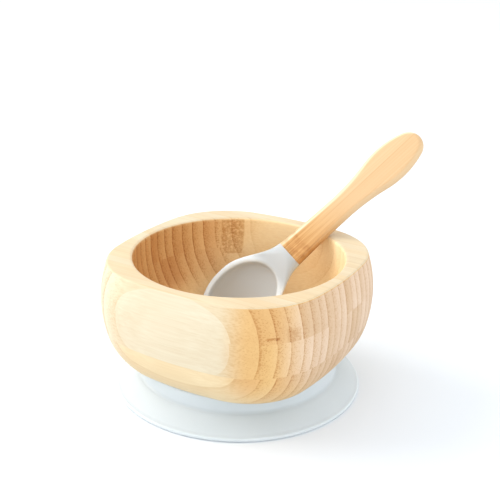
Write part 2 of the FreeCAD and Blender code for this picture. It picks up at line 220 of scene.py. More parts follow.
def between(first, last, shares):
    """Rings at shares of the way from one ring to another."""
    return [first + (last - first) * share for share in shares]


def make_rim_board():
    """The top board, with the flat rim and its two rounded edges."""
    low = bottom_z["rim_board"]
    outer_edge = arc((RIM_HALF - RIM_OUTER, RIM_Z - RIM_OUTER), RIM_OUTER, 0, 90, 8)
    inner_edge = arc((CAVITY_RADIUS + RIM_INNER, RIM_Z - RIM_INNER), RIM_INNER, 90, 180, 8)
    rings = wall_rings(low, RIM_Z - RIM_OUTER, steps=12)
    rings += [square_ring(half, z) for half, z in outer_edge[1:]]
    rings += between(rings[-1], round_ring(inner_edge[0][0], RIM_Z), shares=(0.06, 0.5, 0.94))
    rings += turned(inner_edge)
    rings += cavity_rings(RIM_Z - RIM_INNER, low, steps=12)[1:]
    return make_piece("rim_board_wood", *skin(rings, closed=True), "bowl", "rim_board", "bamboo")


def make_upper_wall_board():
    """The second board: a plain belt of the wall."""
    low, high = bottom_z["upper_wall_board"], top_z["upper_wall_board"]
    rings = wall_rings(low, high, steps=14) + cavity_rings(high, low, steps=14)
    return make_piece("upper_wall_wood", *skin(rings, closed=True), "bowl",
                      "upper_wall_board", "bamboo")


def make_lower_wall_board():
    """The third board, with the inner floor."""
    low, high = bottom_z["lower_wall_board"], top_z["lower_wall_board"]
    rings = [round_ring(0, low)] + wall_rings(low, high, steps=18)
    centre = (CAVITY_RADIUS - CAVITY_ARC, CAVITY_FLOOR + CAVITY_ARC)
    start = -math.degrees(math.asin((centre[1] - high) / CAVITY_ARC))
    rings += turned(arc(centre, CAVITY_ARC, start, -90, 24))
    rings += turned([(centre[0] / 2, CAVITY_FLOOR), (0, CAVITY_FLOOR)])
    return make_piece("lower_wall_wood", *skin(rings), "bowl", "lower_wall_board", "bamboo")


def make_foot_board():
    """The lowest board with the turned foot, its bead groove and the lip below the groove."""
    low, high = bottom_z["foot_board"], top_z["foot_board"]
    profile = [(0, low), (FOOT_RADIUS / 2, low)]
    profile += arc((FOOT_RADIUS - FOOT_ROUND, low + FOOT_ROUND), FOOT_ROUND, -90, 0)
    profile += [(FOOT_RADIUS, GROOVE_LOW), (GROOVE_RADIUS, GROOVE_LOW),
                (GROOVE_RADIUS, GROOVE_HIGH), (FOOT_RADIUS, GROOVE_HIGH),
                (FOOT_RADIUS, BLOCK_BOTTOM)]
    rings = turned(profile)
    outer = square_ring(wall_half(BLOCK_BOTTOM), BLOCK_BOTTOM)
    rings += between(rings[-1], outer, shares=(0.06, 0.5, 0.96))
    rings += wall_rings(BLOCK_BOTTOM, high, steps=10)
    rings.append(round_ring(0, high))
    return make_piece("foot_wood", *skin(rings), "bowl", "foot_board", "bamboo")


# ---------------------------------------------------------------- silicone ring

# Points of the ring's outline are a radius and a height.
SKIRT_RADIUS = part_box("suction_ring")[1].x
SKIRT_EDGE = 1.0 * MM              # half the skirt's thickness at its round edge
FILLET = 1.8 * MM                  # hollow rounding between skirt and collar
FILLET_START = Vector((48.0, 7.6)) * MM
FILLET_END = Vector((46.6, 9.2)) * MM
COLLAR_ROUND = 1.6 * MM
COLLAR_TOP = top_z["suction_ring"] + 0.2 * MM  # leaves only a hairline under the wood
INNER_SEAL = 38.5 * MM             # outer radius of the seal round the bore
CHAMBER = ((39.5 * MM, 4.2 * MM), (47.0 * MM, 4.2 * MM))  # corners of the chamber's roof
OUTER_SEAL = 54.5 * MM             # inner radius of the skirt's seal
SOFT_EDGE = 0.25 * MM              # bevel of the bore's two edges


def arc_through(start, end, radius, steps=8):
    """Points on the short arc of a radius that turns clockwise from start to end."""
    chord = end - start
    across = Vector((chord.y, -chord.x)).normalized()
    centre = (start + end) / 2 + across * math.sqrt(radius ** 2 - (chord.length / 2) ** 2)
    first = math.degrees(math.atan2(*(start - centre).yx))
    last = math.degrees(math.atan2(*(end - centre).yx))
    return arc(centre, radius, first, last - 360 if last > first else last, steps)


def make_suction_ring():
    """Skirt, collar and bead, with the chamber and its two seals underneath: one turned outline."""
    bore, bead = FOOT_RADIUS + FIT_GAP, GROOVE_RADIUS + FIT_GAP
    bead_low, bead_high = GROOVE_LOW + FIT_GAP, GROOVE_HIGH - FIT_GAP
    bead_round = (bead_high - bead_low) / 2
    skirt_end = Vector((SKIRT_RADIUS - SKIRT_EDGE, 2 * SKIRT_EDGE))
    collar_corner = (FILLET_END.x - COLLAR_ROUND, COLLAR_TOP - COLLAR_ROUND)
    outline = [(bore, SOFT_EDGE), (bore + SOFT_EDGE, 0), (INNER_SEAL, 0), *CHAMBER, (OUTER_SEAL, 0)]
    outline += arc((SKIRT_RADIUS - SKIRT_EDGE, SKIRT_EDGE), SKIRT_EDGE, -90, 90, 14)
    outline += [skirt_end.lerp(FILLET_START, share) for share in np.linspace(0, 1, 9)[1:-1]]
    outline += arc_through(FILLET_START, FILLET_END, FILLET)
    outline += arc(collar_corner, COLLAR_ROUND, 0, 90, 10)
    outline += [(bore + SOFT_EDGE, COLLAR_TOP), (bore, COLLAR_TOP - SOFT_EDGE), (bore, bead_high)]
    outline += arc((bead + bead_round, (bead_low + bead_high) / 2), bead_round, 90, 270)
    outline.append((bore, bead_low))
    return make_piece("suction_ring_silicone", *skin(turned(outline), closed=True), "base",
                      "suction_ring", "silicone")


# ---------------------------------------------------------------- spoon

# The spoon is made along its own X axis: the joint between bamboo and silicone at 0, the
# handle towards +X, the head towards -X, and the hollow facing its own +Z. A name that ends in AT
# is a distance from that joint, and one that ends in HALF is half a width.
NECK = Vector((9.0, 31.8, 56.05)) * MM
SPOON_TURN, SPOON_RISE, SPOON_ROLL = 48.0, 40.3, 31.4      # degrees
HANDLE_LENGTH = 84.4 * MM
HANDLE_THICK = 4.8 * MM
HANDLE_EDGE = 2.2 * MM             # height of the eased edge, and its width at the tip
EASE_LEFT, EASE_RIGHT = 3.6 * MM, 1.5 * MM  # width of the eased edge up to the waist
NECK_HALF = 7.6 * MM
WAIST_AT, WAIST_HALF = 33 * MM, 6.6 * MM
PADDLE_AT, PADDLE_HALF, PADDLE_RADIUS = 64.6 * MM, 10.2 * MM, 40 * MM
TIP_ZONE = 7 * MM                  # length of the tip with closer stations
TANG_LENGTH, TANG_HALF, TANG_THICK = 9.5 * MM, 4 * MM, 2.6 * MM
HEAD_CENTRE = 31.4 * MM            # from that joint to the middle of the hollow
# Half the length, half the width and the depth, of the head and of its hollow.
HEAD_LONG, HEAD_WIDE, HEAD_DEPTH = 22.2 * MM, 19.0 * MM, 9.4 * MM
HOLLOW_LONG, HOLLOW_WIDE, HOLLOW_DEPTH = 19.4 * MM, 16.2 * MM, 7.2 * MM
LIP_Z = 1.5 * MM                   # rim of the head above the handle's middle plane
LIP_ROUND = 0.8 * MM               # outer rounding of the lip
HOLLOW_ROUND = 1.9 * MM            # rounding of the hollow's edge
LIP_FROM_NECK = 12 * MM            # the domed neck has become the flat lip here
SOCKET_HALF, SOCKET_HIGH = 7.9 * MM, 3.7 * MM
FLARE_LENGTH = 28 * MM             # from the socket to where the head is widest
SIDES_END, SIDES_FADE = 14 * MM, 12 * MM  # where the edge's distance stops being taken sideways
SPINE_HIGH, SPINE_HALF = 0.6 * MM, 11 * MM  # what the neck leaves under the head's belly
SPINE_START, SPINE_FADE = 4 * MM, 22 * MM
BLUR, BLUR_RAMP = 1.6 * MM, 4 * MM  # soft join of neck and belly, and its start at the edge


def spoon_place():
    """Where the spoon lies at rest: its neck's place, then its three turns."""
    return (Matrix.Translation(NECK)
            @ Matrix.Rotation(math.radians(SPOON_TURN), 4, "Z")
            @ Matrix.Rotation(math.radians(-SPOON_RISE), 4, "Y")
            @ Matrix.Rotation(math.radians(SPOON_ROLL), 4, "X"))


def handle_half(along):
    """The handle's half width at a distance from the neck: flare, waist, paddle and round tip."""
    drop = PADDLE_RADIUS - PADDLE_HALF
    span, rise = PADDLE_AT - WAIST_AT, WAIST_HALF + drop
    waist_radius = (span ** 2 + rise ** 2 - PADDLE_RADIUS ** 2) / (2 * (PADDLE_RADIUS - rise))
    flare = NECK_HALF - WAIST_HALF
    neck_radius = (WAIST_AT ** 2 + flare ** 2) / (2 * flare)
    back = HANDLE_LENGTH - PADDLE_RADIUS
    tip_at = (PADDLE_AT ** 2 + drop ** 2 - back ** 2) / (2 * (PADDLE_AT - back))
    tip_radius = HANDLE_LENGTH - tip_at
    reach = math.hypot(PADDLE_AT - tip_at, drop)
    tip_joint = PADDLE_AT + (tip_at - PADDLE_AT) * PADDLE_RADIUS / reach
    waist_joint = PADDLE_AT - span * PADDLE_RADIUS / (PADDLE_RADIUS + waist_radius)
    if along < WAIST_AT:
        radius, middle, height, side = neck_radius, WAIST_AT, WAIST_HALF + neck_radius, -1
    elif along < waist_joint:
        radius, middle, height, side = waist_radius, WAIST_AT, WAIST_HALF + waist_radius, -1
    elif along < tip_joint:
        radius, middle, height, side = PADDLE_RADIUS, PADDLE_AT, -drop, 1
    else:
        radius, middle, height, side = tip_radius, tip_at, 0, 1
    return height + side * math.sqrt(max(radius ** 2 - (along - middle) ** 2, 0))


def handle_stations():
    """Distances along the handle, closer together at its round tip."""
    tip_start = HANDLE_LENGTH - TIP_ZONE
    tip = tip_start + TIP_ZONE * np.sin(np.linspace(0, math.pi / 2, 17)[1:])
    return np.concatenate((np.linspace(0, tip_start, 79), tip))


def outward(stations, halves):
    """The outline's outward direction at each station, along and across the handle."""
    slopes = np.gradient(halves, stations)
    slopes[-1] = -1e6              # at the tip the outline stands square to the handle
    across = 1 / np.sqrt(1 + slopes ** 2)
    return -slopes * across, across


def handle_ring(x, half, out_x, out_y):
    """One section of the handle: over its top from the left edge, and back underneath."""
    easing = np.array(arc((0, 0), 1, 0, 90, 8))
    height = HANDLE_THICK / 2 - HANDLE_EDGE * (1 - easing[:, 1])
    edges = []
    for side, width in ((1, EASE_LEFT), (-1, EASE_RIGHT)):
        width = mix(width, HANDLE_EDGE, ease((x - WAIST_AT) / (HANDLE_LENGTH - WAIST_AT)))
        inward = (1 - easing[:, 0]) * width
        edges.append(np.column_stack((x - out_x * inward, side * (half - out_y * inward), height)))
    left, right = edges
    crossing = between(left[-1], right[-1], shares=(0.05, 0.25, 0.5, 0.75, 0.95))
    top = np.concatenate((left, crossing, right[::-1]))
    return np.concatenate((top, top[::-1] * (1, 1, -1)))


def make_spoon_handle():
    """A paddle of even thickness whose eased edge follows the outline, and its tang."""
    stations = handle_stations()
    halves = np.array([handle_half(x) for x in stations])
    rings = [handle_ring(*station) for station in
             zip(stations, halves, *outward(stations, halves))]
    rings[0] = rings[0] * (0, 1, 1)
    tang = rings[0] * (0, TANG_HALF / NECK_HALF, TANG_THICK / HANDLE_THICK)
    rings = [tang - (TANG_LENGTH - FIT_GAP, 0, 0), tang] + rings
    vertices, faces = skin(rings, caps=(True, False))
    return make_spoon_piece("spoon_handle_wood", vertices, faces, "spoon_handle", "spoon_bamboo")


def make_spoon_piece(name, vertices, faces, node, slot):
    """A piece in the spoon's own frame, set in its place in the bowl."""
    return make_piece(name, vertices, faces, "spoon", node, slot, crease=40, place=spoon_place())


def head_half(along):
    """The head's half width at a distance from the neck."""
    flare = SOCKET_HALF + (HEAD_WIDE - SOCKET_HALF) * ease(along / FLARE_LENGTH)
    beyond = np.clip((along - HEAD_CENTRE) / HEAD_LONG, 0, 1)
    return flare * np.sqrt(1 - beyond ** 2)


def head_rays(steps=88, across=16):
    """Directions round the hollow's middle, from the tip by one side, with the reach to the edge.

    The last ones end on the flat joint with the handle, the first of them in its corner.
    """
    corner = math.pi - math.atan2(SOCKET_HALF, HEAD_CENTRE)
    half_turn = np.concatenate((np.linspace(0, corner, steps, endpoint=False),
                                np.linspace(corner, math.pi, across, endpoint=False)))
    angles = np.concatenate((half_turn, [math.pi], 2 * math.pi - half_turn[:0:-1]))
    along = HEAD_CENTRE + HEAD_LONG * np.cos(np.linspace(0, math.pi / 2, 200))
    along = np.concatenate((along, np.linspace(HEAD_CENTRE, 0, 200)[1:]))
    wide = head_half(along)
    edge_angle = np.arctan2(wide, along - HEAD_CENTRE)
    edge_reach = np.hypot(wide, along - HEAD_CENTRE)
    folded = np.minimum(angles, 2 * math.pi - angles)
    on_joint = folded > corner - 1e-9
    joint_reach = HEAD_CENTRE / np.maximum(-np.cos(angles), 0.1)
    reach = np.where(on_joint, joint_reach, np.interp(folded, edge_angle, edge_reach))
    return angles, reach, on_joint


def edge_distance(along, across, to_edge):
    """How far a point of the head's plan lies inside its outline.

    Near the neck that is its distance to the side, and round the hollow to_edge, along its ray.
    """
    step = 0.05 * MM
    slope = (head_half(along + step) - head_half(along - step)) / (2 * step)
    sideways = (head_half(along) - np.abs(across)) / np.sqrt(1 + slope ** 2)
    return np.maximum(mix(sideways, to_edge, ease((along - SIDES_END) / SIDES_FADE)), 0)


def dome(distance, radius):
    """A quarter round that rises from 0 at an edge to 1 at the radius."""
    return np.sqrt(1 - (1 - np.clip(distance / radius, 0, 1)) ** 2)


def head_top(along, across, to_edge):
    """Height of the head's upper side: a rounded neck that eases into the flat lip."""
    lip = ease(along / LIP_FROM_NECK)
    rise = dome(edge_distance(along, across, to_edge), mix(SOCKET_HALF, LIP_ROUND, lip))
    return mix(0, LIP_Z - LIP_ROUND, lip) + mix(SOCKET_HIGH, LIP_ROUND, lip) * rise


def head_bottom(along, across, to_edge):
    """Height of the head's underside: the belly of the bowl run together with the neck."""
    lip = ease(along / LIP_FROM_NECK)
    edge_z = mix(0, LIP_Z - LIP_ROUND, lip)
    distance = edge_distance(along, across, to_edge)
    inside = 1 - ((along - HEAD_CENTRE) / HEAD_LONG) ** 2 - (across / HEAD_WIDE) ** 2
    belly = (HEAD_DEPTH - LIP_ROUND) * np.sqrt(np.clip(inside, 0, 1)) - (LIP_Z - LIP_ROUND)
    neck_high = mix(SOCKET_HIGH, SPINE_HIGH, ease((along - SPINE_START) / SPINE_FADE))
    neck = neck_high * dome(distance, mix(SOCKET_HALF, SPINE_HALF, lip)) - edge_z
    blur = BLUR * np.clip(distance / BLUR_RAMP, 1e-3, 1)
    gap = np.abs(belly - neck)
    return -(np.maximum(belly, neck) + np.maximum(blur - gap, 0) ** 2 / (4 * blur))


def make_spoon_head():
    """The silicone head: hollow, lip, belly, and the socket that holds the handle's tang."""
    angles, reach, on_joint = head_rays()
    cosine, sine = np.cos(angles), np.sin(angles)
    hollow = 1 / np.sqrt((cosine / HOLLOW_LONG) ** 2 + (sine / HOLLOW_WIDE) ** 2)

    def ring(radius, height):
        """Points at a radius from the hollow's middle, with a height from plan or as given."""
        along, across = HEAD_CENTRE + radius * cosine, radius * sine
        z = height(along, across, reach - radius) if callable(height) else height
        return np.column_stack((-along, across, np.broadcast_to(z, len(angles))))

    edge_z, below_edge = LIP_Z - HOLLOW_ROUND, HOLLOW_DEPTH - HOLLOW_ROUND
    rings = [ring(hollow * share, edge_z - below_edge * math.sqrt(1 - share ** 2))
             for share in np.sin(np.linspace(0, math.pi / 2, 26))]
    lip_start = hollow + HOLLOW_ROUND
    for turn in np.linspace(0, math.pi / 2, 6)[1:-1]:
        rounded = ring(lip_start, head_top)
        rounded[:, :2] = ring(hollow + HOLLOW_ROUND * (1 - math.cos(turn)), 0)[:, :2]
        rounded[:, 2] -= HOLLOW_ROUND * (1 - math.sin(turn))
        rings.append(rounded)
    rings += [ring(mix(lip_start, reach, share), head_top)
              for share in np.sin(np.linspace(0, math.pi / 2, 22))]
    under = [ring(reach * share, head_bottom) for share in np.sin(np.linspace(math.pi / 2, 0, 40))]
    under[0][~on_joint] = rings[-1][~on_joint]
    top_start, bottom_start = (len(rings) - 1) * len(angles), len(rings) * len(angles)
    vertices, faces = skin(rings + under)
    joint = np.flatnonzero(on_joint)
    cut_off = {top_start + step for step in joint[:-1]}
    faces = [face for face in faces if face[0] not in cut_off]
    add_socket(vertices, faces, joint, top_start, bottom_start)
    return make_spoon_piece("spoon_head_silicone", vertices, faces, "spoon_head", "silicone")


def add_socket(vertices, faces, joint, top_start, bottom_start):
    """Adds the joint's flat face and the slot for the tang to the head's skin."""
    share = TANG_HALF / SOCKET_HALF
    slot_rows = []
    for start, side in ((top_start, 1), (bottom_start, -1)):
        mouth, depth = [], []
        for step in joint:
            across = vertices[start + step][1] * share
            mouth.append(len(vertices))
            vertices.append((0, across, side * TANG_THICK / 2))
            depth.append(len(vertices))
            vertices.append((-TANG_LENGTH, across, side * TANG_THICK / 2))
        slot_rows.append((start + joint, mouth, depth))
    (top, top_mouth, top_depth), (bottom, bottom_mouth, bottom_depth) = slot_rows
    loops = (list(top), top_mouth, top_depth, bottom_depth, bottom_mouth, list(bottom))
    for first, second in zip(loops, loops[1:]):
        for step in range(len(joint) - 1):
            faces.append((first[step], first[step + 1], second[step + 1], second[step]))
    for end in (0, -1):
        faces.append((top[end], top_mouth[end], bottom_mouth[end]))
        faces.append((top_mouth[end], top_depth[end], bottom_depth[end], bottom_mouth[end]))


# ---------------------------------------------------------------- material helpers

class Recipe:
    """Short calls for one material's nodes. A value is a number or another node's output."""

    def __init__(self, name, specular):
        self.material = bpy.data.materials.new(name)
        self.material.use_nodes = True
        self.tree = self.material.node_tree
        self.shader = self.tree.nodes["Principled BSDF"]
        self.shader.inputs["Specular IOR Level"].default_value = specular

    def node(self, kind, settings=(), **inputs):
        """Adds a node, sets or links its inputs by name (spaces as _), and returns its output."""
        node = self.tree.nodes.new(kind)
        for field, value in dict(settings).items():
            setattr(node, field, value)
        for name, value in inputs.items():
            self.feed(node.inputs[name.replace("_", " ")], value)
        return node.outputs[0]

    def feed(self, socket_in, value):
        """Links another node's output to an input, or sets the input to a plain value."""
        if isinstance(value, bpy.types.NodeSocket):
            self.tree.links.new(value, socket_in)
        else:
            socket_in.default_value = value

    def maths(self, operation, *values):
        """One Math node on one or two values."""
        node = self.tree.nodes.new("ShaderNodeMath")
        node.operation = operation
        for socket_in, value in zip(node.inputs, values):
            self.feed(socket_in, value)
        return node.outputs[0]

    def add(self, *values):
        """The sum of any number of values."""
        return self.chain("ADD", values)

    def times(self, *values):
        """The product of any number of values."""
        return self.chain("MULTIPLY", values)

    def chain(self, operation, values):
        """The same operation from the first value to the last."""
        total = values[0]
        for value in values[1:]:
            total = self.maths(operation, total, value)
        return total

    def less(self, first, second):
        """The first value less the second."""
        return self.maths("SUBTRACT", first, second)

    def step(self, value, low, high, to_low=0.0, to_high=1.0):
        """A smooth step of value from low to high."""
        return self.node("ShaderNodeMapRange", settings={"interpolation_type": "SMOOTHSTEP"},
                         Value=value, From_Min=low, From_Max=high, To_Min=to_low, To_Max=to_high)

    def within(self, value, low, high, soft):
        """1 between low and high, falling to 0 over soft on each side."""
        rising = self.step(value, low - soft, low)
        return self.times(rising, self.step(value, high, high + soft, 1, 0))

    def vector(self, x, y, z):
        """Three values as one vector."""
        return self.node("ShaderNodeCombineXYZ", X=x, Y=y, Z=z)

    def stretched(self, place, scales):
        """The place with each axis scaled, so that a pattern on it is drawn out."""
        return self.vector(*(self.times(axis, scale) for axis, scale in zip(place, scales)))

    def noise(self, place, scale=1.0, detail=2.0, roughness=0.5):
        """Soft noise, about 0.5 on average."""
        return self.node("ShaderNodeTexNoise", Vector=place, Scale=scale, Detail=detail,
                         Roughness=roughness)

    def random(self, order, seed):
        """A fixed random number for each whole number and seed."""
        return self.node("ShaderNodeTexWhiteNoise", settings={"noise_dimensions": "3D"},
                         Vector=self.vector(order, seed, 0.0))

    def blend(self, share, first, second, kind="MIX"):
        """Colour mix: first where share is 0, second where it is 1."""
        node = self.tree.nodes.new("ShaderNodeMix")
        node.data_type = "RGBA"
        node.blend_type = kind
        factor, colour_a, colour_b = node.inputs[0], node.inputs[6], node.inputs[7]
        for socket_in, value in ((factor, share), (colour_a, first), (colour_b, second)):
            self.feed(socket_in, (*value, 1) if isinstance(value, tuple) else value)
        return node.outputs[2]

    def axes(self):
        """The piece's own X, Y and Z, in millimetres, and the direction of its surface."""
        coordinates = self.tree.nodes.new("ShaderNodeTexCoord")
        scaled = self.tree.nodes.new("ShaderNodeVectorMath")
        scaled.operation = "SCALE"
        self.feed(scaled.inputs[0], coordinates.outputs["Object"])
        scaled.inputs["Scale"].default_value = 1 / MM
        place = self.tree.nodes.new("ShaderNodeSeparateXYZ")
        self.feed(place.inputs[0], scaled.outputs[0])
        facing = self.tree.nodes.new("ShaderNodeSeparateXYZ")
        self.feed(facing.inputs[0], coordinates.outputs["Normal"])
        return list(place.outputs), list(facing.outputs)

    def finish(self, colour, roughness, height, depth):
        """Links colour, roughness and a fine bump of a depth, and returns the material."""
        self.feed(self.shader.inputs["Base Color"], colour)
        self.feed(self.shader.inputs["Roughness"], roughness)
        bump = self.node("ShaderNodeBump", Height=height, Distance=depth)
        self.feed(self.shader.inputs["Normal"], bump)
        return self.material


# ---------------------------------------------------------------- bamboo

CREAM = (0.67, 0.565, 0.40)        # long grain; also painted light on the -X side's slanting cuts
HONEY = (0.68, 0.51, 0.295)
APRICOT_PAINTED_BOUNCE_LIGHT = (0.725, 0.56, 0.335)     # the lower boards' outermost strip and the slopes low on the bowl: wood colour made paler as painted light for the floor's bounce
GOLD = (0.715, 0.455, 0.185)       # grain cut aslant, at the corners
AMBER = (0.665, 0.39, 0.155)
ROSE = (0.71, 0.53, 0.38)          # end grain
TAN = (0.61, 0.42, 0.26)
INSIDE_PAINTED_LIGHT = (0.85, 0.685, 0.425)  # painted light: near the rim, on the side whose wall faces the lamp
INSIDE_PALE = (0.80, 0.555, 0.28)  # turned inner wall
INSIDE_DEEP = (0.645, 0.365, 0.15)
HANDLE_PALE = (0.71, 0.505, 0.295)
HANDLE_DEEP = (0.60, 0.37, 0.175)
HANDLE_NECK = (0.615, 0.33, 0.09)  # by the silicone
HANDLE_LEFT_PAINTED_LIGHT = (0.75, 0.62, 0.41)   # the two eased edges, paler as painted light where the lamps catch them
HANDLE_RIGHT_PAINTED_LIGHT = (0.76, 0.58, 0.36)

# Sizes inside the materials are in millimetres.
STRIP = 5.2                        # thickness of one bamboo strip
STRIP_WANDER = 2.4                 # how far the joints between strips stray
BUNDLE_CELL = 0.72                 # spacing of the bundles across the grain
BUNDLE_LONG = 70.0                 # and along it
INSIDE_TO = CAVITY_RADIUS / MM + 0.1  # the inside's colours fade out beyond this radius
INSIDE_FADE = 0.6
# Noise cells per millimetre along X, Y and Z. The grain runs along X.
FIBRE_CELLS = (0.012, 1.5, 0.9)
CLOUD_CELLS = (0.03, 0.06, 0.05)
KNUCKLE_CELLS = (0.5, 0.8, 0.8)
NECK_FIBRE_CELLS = (0.035, 0.9, 1.0)
NECK_KNUCKLE_CELLS = (0.4, 0.6, 1.0)
GRAIN_BUMP = 0.05 * MM             # depth in metres

# Knuckles of the culm: low corner, high corner, softness and strength.
CORNER_DASH = ((38, -46.8, 51.3), (60, -43.2, 52.2), 0.3, 0.40)
CORNER_SHADE = ((38, -39.4, 48.0), (60, -35.6, 54.5), 1.5, 0.23)
WALL_KNUCKLE = ((-32.5, 36.0, 47.0), (-24.0, 43.0, 63.5), 0.8, 0.36)

Strip = namedtuple("Strip", "inside tone tint order")
Cut = namedtuple("Cut", "bowl_side aslant end shown")


def strips(recipe, across, first_edge, seed):
    """The strip at a point.

    inside is the place in the strip, 0 to 1, tone and tint are random numbers, and order counts
    the strips from first_edge.
    """
    wander = recipe.noise(recipe.vector(across, seed, 0.0), scale=0.11, detail=1.0)
    place = recipe.add(across, recipe.times(recipe.less(wander, 0.5), STRIP_WANDER))
    count = recipe.maths("DIVIDE", recipe.less(place, first_edge), STRIP)
    order = recipe.maths("FLOOR", count)
    return Strip(recipe.maths("FRACT", count), recipe.random(order, seed),
                 recipe.random(order, seed + 7.0), order)


def bundles(recipe, x, y, z, dense, seed):
    """Vascular bundles: dots across the grain, long thin lines along it. 1 in a bundle."""
    place = recipe.vector(recipe.maths("DIVIDE", x, BUNDLE_LONG),
                          recipe.maths("DIVIDE", y, BUNDLE_CELL),
                          recipe.add(recipe.maths("DIVIDE", z, BUNDLE_CELL), seed))
    distance = recipe.node("ShaderNodeTexVoronoi", Vector=place, Scale=1.0, Randomness=0.8)
    size = recipe.add(0.17, recipe.times(dense, 0.30))
    return recipe.step(recipe.less(distance, size), -0.12, 0.12, 1, 0)


def grain_streaks(recipe, place):
    """Fine fibres drawn out along the grain."""
    return recipe.noise(recipe.stretched(place, FIBRE_CELLS), detail=4.0, roughness=0.6)


def darken(recipe, wood, shade):
    """Wood times a shade; dark places turn browner rather than greyer."""
    tint = recipe.node("ShaderNodeCombineColor", Red=recipe.maths("POWER", shade, 0.75),
                       Green=recipe.maths("POWER", shade, 1.25),
                       Blue=recipe.maths("POWER", shade, 1.9))
    return recipe.blend(1.0, wood, tint, kind="MULTIPLY")


def knuckle(recipe, place, low, high, soft, strength):
    """A rough brown mark where the culm had a node: ragged bands inside a soft-edged box."""
    mask = 1.0
    for axis, bottom, top in zip(place, low, high):
        mask = recipe.times(recipe.within(axis, bottom, top, soft), mask)
    ragged = recipe.noise(recipe.stretched(place, KNUCKLE_CELLS), detail=3.0, roughness=0.7)
    return recipe.times(mask, recipe.step(ragged, 0.25, 0.62), strength)


def inner_side(recipe, place, facing):
    """1 on the turned inside of the bowl, 0 on the rim, the outside and the underside."""
    x, y, _ = place
    radius = recipe.maths("SQRT", recipe.add(recipe.times(x, x), recipe.times(y, y)))
    outward_share = recipe.add(recipe.times(x, facing[0]), recipe.times(y, facing[1]))
    inward_share = recipe.less(recipe.times(facing[2], 5.0), outward_share)
    near = recipe.step(radius, INSIDE_TO, INSIDE_TO + INSIDE_FADE, 1, 0)
    return recipe.times(near, recipe.step(inward_share, 0.0, 2.0))


def grain_cut(recipe, place, facing):
    """How the surface cuts the grain, each 0 to 1.

    bowl_side is the inside of the bowl, aslant and end are cuts at a slant and square across, and
    shown is how much of the cut bundles can be seen.
    """
    bowl_side = inner_side(recipe, place, facing)
    upright = recipe.step(facing[2], 0.35, 0.85, 1, 0)
    across = recipe.times(recipe.maths("ABSOLUTE", facing[0]), upright)
    smooth_back = recipe.times(bowl_side, recipe.step(place[0], -36.0, -14.0), 0.72)
    shown = recipe.times(recipe.step(across, 0.10, 0.75), recipe.less(1.0, smooth_back))
    return Cut(bowl_side, recipe.step(across, 0.12, 0.50), recipe.step(across, 0.66, 1.0), shown)


def board_colour(recipe, place, strip, cut, pale):
    """The wood's colour before shading: long grain, slanting cuts, end grain and the inside, with
    painted light on the -X side, low on the bowl and inside near the rim.
    """
    x, _, z = place
    outermost = recipe.step(strip.order, -1.0, -0.5, 1, 0)
    long_tone = recipe.times(recipe.add(recipe.times(strip.tone, 0.6), 0.05),
                             recipe.less(1.0, outermost))
    long_grain = recipe.blend(long_tone, pale, HONEY)
    # Painted light: slanting cuts on the -X side get the pale cream, for the lamp that washes that
    # side out; towards +X they keep gold and amber.
    sloping = recipe.blend(recipe.step(x, -35.0, 10.0), CREAM,
                           recipe.blend(strip.tone, GOLD, AMBER))
    # Painted light: the slopes low on the bowl turn part way to the paler apricot, for the light
    # the floor bounces up.
    sloping = recipe.blend(recipe.step(z, 15.0, 34.0, 0.55, 0), sloping, APRICOT_PAINTED_BOUNCE_LIGHT)
    outside = recipe.blend(cut.aslant, long_grain, sloping)
    outside = recipe.blend(cut.end, outside, recipe.blend(strip.tone, ROSE, TAN))
    deep = recipe.times(cut.shown, recipe.add(0.35, recipe.times(strip.tone, 0.65)))
    turned_wall = recipe.blend(deep, INSIDE_PALE, INSIDE_DEEP)
    # Painted light: the inside near the rim is paler towards +X, where its wall faces the lamp.
    painted_light_near_rim = recipe.times(recipe.step(z, 46.0, 63.0), recipe.step(x, -28.0, 12.0), 0.65)
    inside = recipe.blend(painted_light_near_rim, turned_wall, INSIDE_PAINTED_LIGHT)
    return recipe.blend(cut.bowl_side, outside, inside)


def board_bamboo(name, first_edge, seed, pale, marks):
    """Laminated bamboo: strips side by side along Y, grain along X, dotted where it is cut across.

    pale colours the outermost strip. marks are knuckles.
    """
    recipe = Recipe(name, specular=0.3)
    place, facing = recipe.axes()
    x, y, z = place
    strip = strips(recipe, y, first_edge, seed)
    cut = grain_cut(recipe, place, facing)
    wood = board_colour(recipe, place, strip, cut, pale)

    dense = recipe.maths("POWER", recipe.less(1.0, strip.inside), 1.5)
    bundle = bundles(recipe, x, y, z, dense, seed)
    streak = grain_streaks(recipe, place)
    cloud = recipe.noise(recipe.stretched(place, CLOUD_CELLS))
    line = recipe.times(recipe.step(strip.inside, 0.0, 0.16, 1, 0), recipe.add(0.3, strip.tint))

    def mark(where, along_grain, cut_grain):
        """A darker place: faint along the grain, and more where the grain is cut."""
        return recipe.times(where, recipe.add(along_grain, recipe.times(cut.shown, cut_grain)))

    # Painted shade: faces that look up are made a little darker, to tone down the lamps' light on
    # the tops.
    painted_top_shade = recipe.step(facing[2], 0.6, 0.95, 0, -0.045)
    # Painted shade and light inside the bowl: darker on its -X side, which turns away from the
    # lamp, a little lighter towards +X, which faces it.
    painted_inner_shade_and_light = recipe.times(cut.bowl_side, recipe.step(x, -48.0, -24.0, -0.32, 0.08))
    shade = recipe.add(1.02,
                       recipe.times(recipe.less(streak, 0.5), 0.24),
                       recipe.times(recipe.less(cloud, 0.5), 0.18),
                       mark(dense, -0.02, -0.12),
                       mark(line, -0.015, -0.12),
                       painted_top_shade,
                       painted_inner_shade_and_light,
                       mark(bundle, -0.04, -0.15))
    for low, high, soft, strength in marks:
        shade = recipe.add(shade, knuckle(recipe, place, low, high, soft, -strength))
    wood = darken(recipe, wood, recipe.maths("MAXIMUM", shade, 0.2))
    height = recipe.add(recipe.times(bundle, -0.4), streak)
    return recipe.finish(wood, recipe.add(0.44, recipe.times(streak, 0.16)), height, GRAIN_BUMP)


